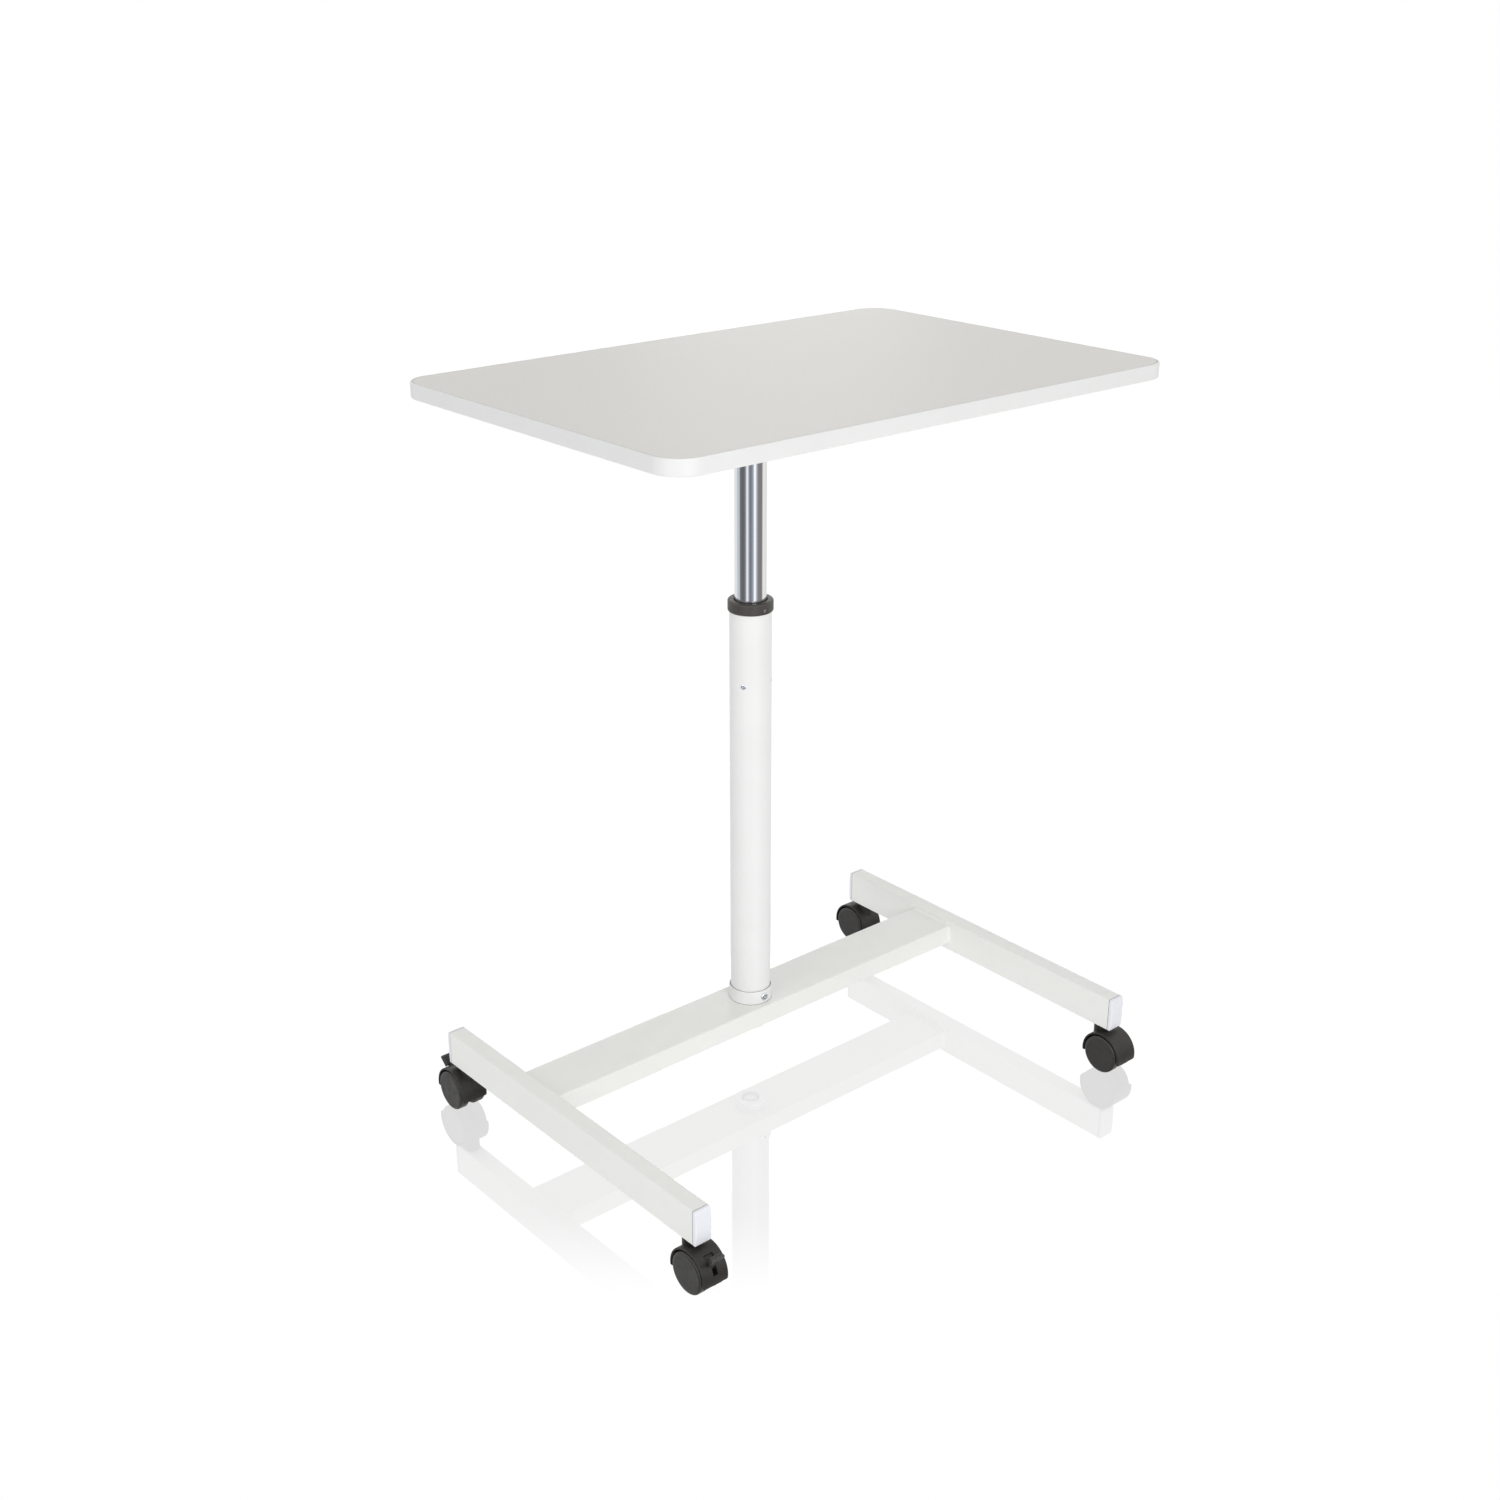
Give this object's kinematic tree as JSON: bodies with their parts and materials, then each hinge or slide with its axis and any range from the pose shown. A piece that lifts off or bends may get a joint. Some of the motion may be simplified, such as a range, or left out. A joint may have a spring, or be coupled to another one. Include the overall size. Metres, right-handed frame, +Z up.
{
  "type": "overbed table",
  "caption": "Height-adjustable overbed table: rounded rectangular top on a telescopic gas-spring column, H-shaped base on twin-wheel castors, two of them with foot brakes.",
  "frame": {"origin": "on the floor, under the centre of the foot rails", "axes": "+Z up, X along the cross rail and the long side of the top with the braked foot at -X, Y along the foot rails with the long ends of the feet at -Y"},
  "size_m": [0.807, 0.604, 1.025],
  "materials": {
    "frame_paint": "white powder coat, satin",
    "tube_paint": "white powder coat, smooth",
    "cap_white": "bluish white moulded plastic",
    "zinc": "zinc plated",
    "steel": "bright ground steel",
    "chrome": "hard chromed, lightly brushed along its length",
    "black_plastic": "moulded black plastic",
    "wheel_black": "moulded black nylon",
    "spring_black": "black enamel",
    "laminate": "light grey laminate with a fine speckle",
    "edge_white": "white moulded edge band",
    "board": "chipboard"
  },
  "bodies": {
    "base": {"cross_rail": "frame_paint", "foot_rail_left": "frame_paint", "foot_rail_right": "frame_paint", "foot_caps": "cap_white", "weld_beads": "frame_paint", "column_socket": "frame_paint", "socket_screw": "zinc", "outer_tube": "tube_paint", "tube_collar": "black_plastic", "collar_screw": "black_plastic", "guide_sleeve": "black_plastic", "guide_screws": "zinc", "spring_rod": "steel", "rod_fixings": "zinc", "castor_inserts": "zinc", "castor_stems": "zinc"},
    "lift": {"top_board": "board", "top_laminate": "laminate", "under_laminate": "laminate", "edge_band": "edge_white", "mounting_plate": "tube_paint", "plate_screws": "zinc", "head_socket": "tube_paint", "inner_tube": "chrome", "tube_plug": "zinc", "slide_ring": "black_plastic", "gas_cylinder": "spring_black", "lever_bracket": "tube_paint", "lever_pin": "zinc"},
    "release_lever": {"release_lever": "spring_black", "lever_grip": "black_plastic"},
    "release_valve": {"release_pin": "steel"},
    "castor_front_left": {"hood_front_left": "black_plastic", "axle_front_left": "zinc", "brake_pin_front_left": "zinc"},
    "wheel_front_left_out": {"wheel_front_left_out": "wheel_black"},
    "wheel_front_left_in": {"wheel_front_left_in": "wheel_black"},
    "brake_front_left": {"brake_front_left": "black_plastic"},
    "castor_front_right": {"hood_front_right": "black_plastic", "axle_front_right": "zinc"},
    "wheel_front_right_out": {"wheel_front_right_out": "wheel_black"},
    "wheel_front_right_in": {"wheel_front_right_in": "wheel_black"},
    "castor_rear_left": {"hood_rear_left": "black_plastic", "axle_rear_left": "zinc", "brake_pin_rear_left": "zinc"},
    "wheel_rear_left_out": {"wheel_rear_left_out": "wheel_black"},
    "wheel_rear_left_in": {"wheel_rear_left_in": "wheel_black"},
    "brake_rear_left": {"brake_rear_left": "black_plastic"},
    "castor_rear_right": {"hood_rear_right": "black_plastic", "axle_rear_right": "zinc"},
    "wheel_rear_right_out": {"wheel_rear_right_out": "wheel_black"},
    "wheel_rear_right_in": {"wheel_rear_right_in": "wheel_black"}
  },
  "joints": [
    {"name": "height_slide", "type": "slide", "parent": "base", "child": "lift", "axis": [0, 0, 1], "range_m": [-0.25, 0.13]},
    {"name": "lever_hinge", "type": "hinge", "parent": "lift", "child": "release_lever", "pos_m": [0.035, 0.0885, 0.99205], "axis": [0, -1, 0], "range_deg": [0, 3.5]},
    {"name": "valve_slide", "type": "slide", "parent": "lift", "child": "release_valve", "axis": [0, 0, -1], "range_m": [0, 0.0025]},
    {"name": "swivel_front_left", "type": "hinge", "parent": "base", "child": "castor_front_left", "pos_m": [-0.383, -0.248, 0.067], "axis": [0, 0, 1], "continuous": true},
    {"name": "spin_front_left_out", "type": "hinge", "parent": "castor_front_left", "child": "wheel_front_left_out", "pos_m": [-0.383, -0.264, 0.028], "axis": [1, 0, 0], "continuous": true},
    {"name": "spin_front_left_in", "type": "hinge", "parent": "castor_front_left", "child": "wheel_front_left_in", "pos_m": [-0.383, -0.264, 0.028], "axis": [1, 0, 0], "continuous": true},
    {"name": "brake_hinge_front_left", "type": "hinge", "parent": "castor_front_left", "child": "brake_front_left", "pos_m": [-0.383, -0.284, 0.0415], "axis": [1, 0, 0], "range_deg": [0, 18]},
    {"name": "swivel_front_right", "type": "hinge", "parent": "base", "child": "castor_front_right", "pos_m": [0.383, -0.248, 0.067], "axis": [0, 0, 1], "continuous": true},
    {"name": "spin_front_right_out", "type": "hinge", "parent": "castor_front_right", "child": "wheel_front_right_out", "pos_m": [0.383, -0.264, 0.028], "axis": [1, 0, 0], "continuous": true},
    {"name": "spin_front_right_in", "type": "hinge", "parent": "castor_front_right", "child": "wheel_front_right_in", "pos_m": [0.383, -0.264, 0.028], "axis": [1, 0, 0], "continuous": true},
    {"name": "swivel_rear_left", "type": "hinge", "parent": "base", "child": "castor_rear_left", "pos_m": [-0.383, 0.248, 0.067], "axis": [0, 0, 1], "continuous": true},
    {"name": "spin_rear_left_out", "type": "hinge", "parent": "castor_rear_left", "child": "wheel_rear_left_out", "pos_m": [-0.383, 0.264, 0.028], "axis": [1, 0, 0], "continuous": true},
    {"name": "spin_rear_left_in", "type": "hinge", "parent": "castor_rear_left", "child": "wheel_rear_left_in", "pos_m": [-0.383, 0.264, 0.028], "axis": [1, 0, 0], "continuous": true},
    {"name": "brake_hinge_rear_left", "type": "hinge", "parent": "castor_rear_left", "child": "brake_rear_left", "pos_m": [-0.383, 0.284, 0.0415], "axis": [-1, 0, 0], "range_deg": [0, 18]},
    {"name": "swivel_rear_right", "type": "hinge", "parent": "base", "child": "castor_rear_right", "pos_m": [0.383, 0.248, 0.067], "axis": [0, 0, 1], "continuous": true},
    {"name": "spin_rear_right_out", "type": "hinge", "parent": "castor_rear_right", "child": "wheel_rear_right_out", "pos_m": [0.383, 0.264, 0.028], "axis": [1, 0, 0], "continuous": true},
    {"name": "spin_rear_right_in", "type": "hinge", "parent": "castor_rear_right", "child": "wheel_rear_right_in", "pos_m": [0.383, 0.264, 0.028], "axis": [1, 0, 0], "continuous": true}
  ],
  "couplings": [
    {"joint": "valve_slide", "follows": "lever_hinge", "m_per_rad": 0.038}
  ]
}
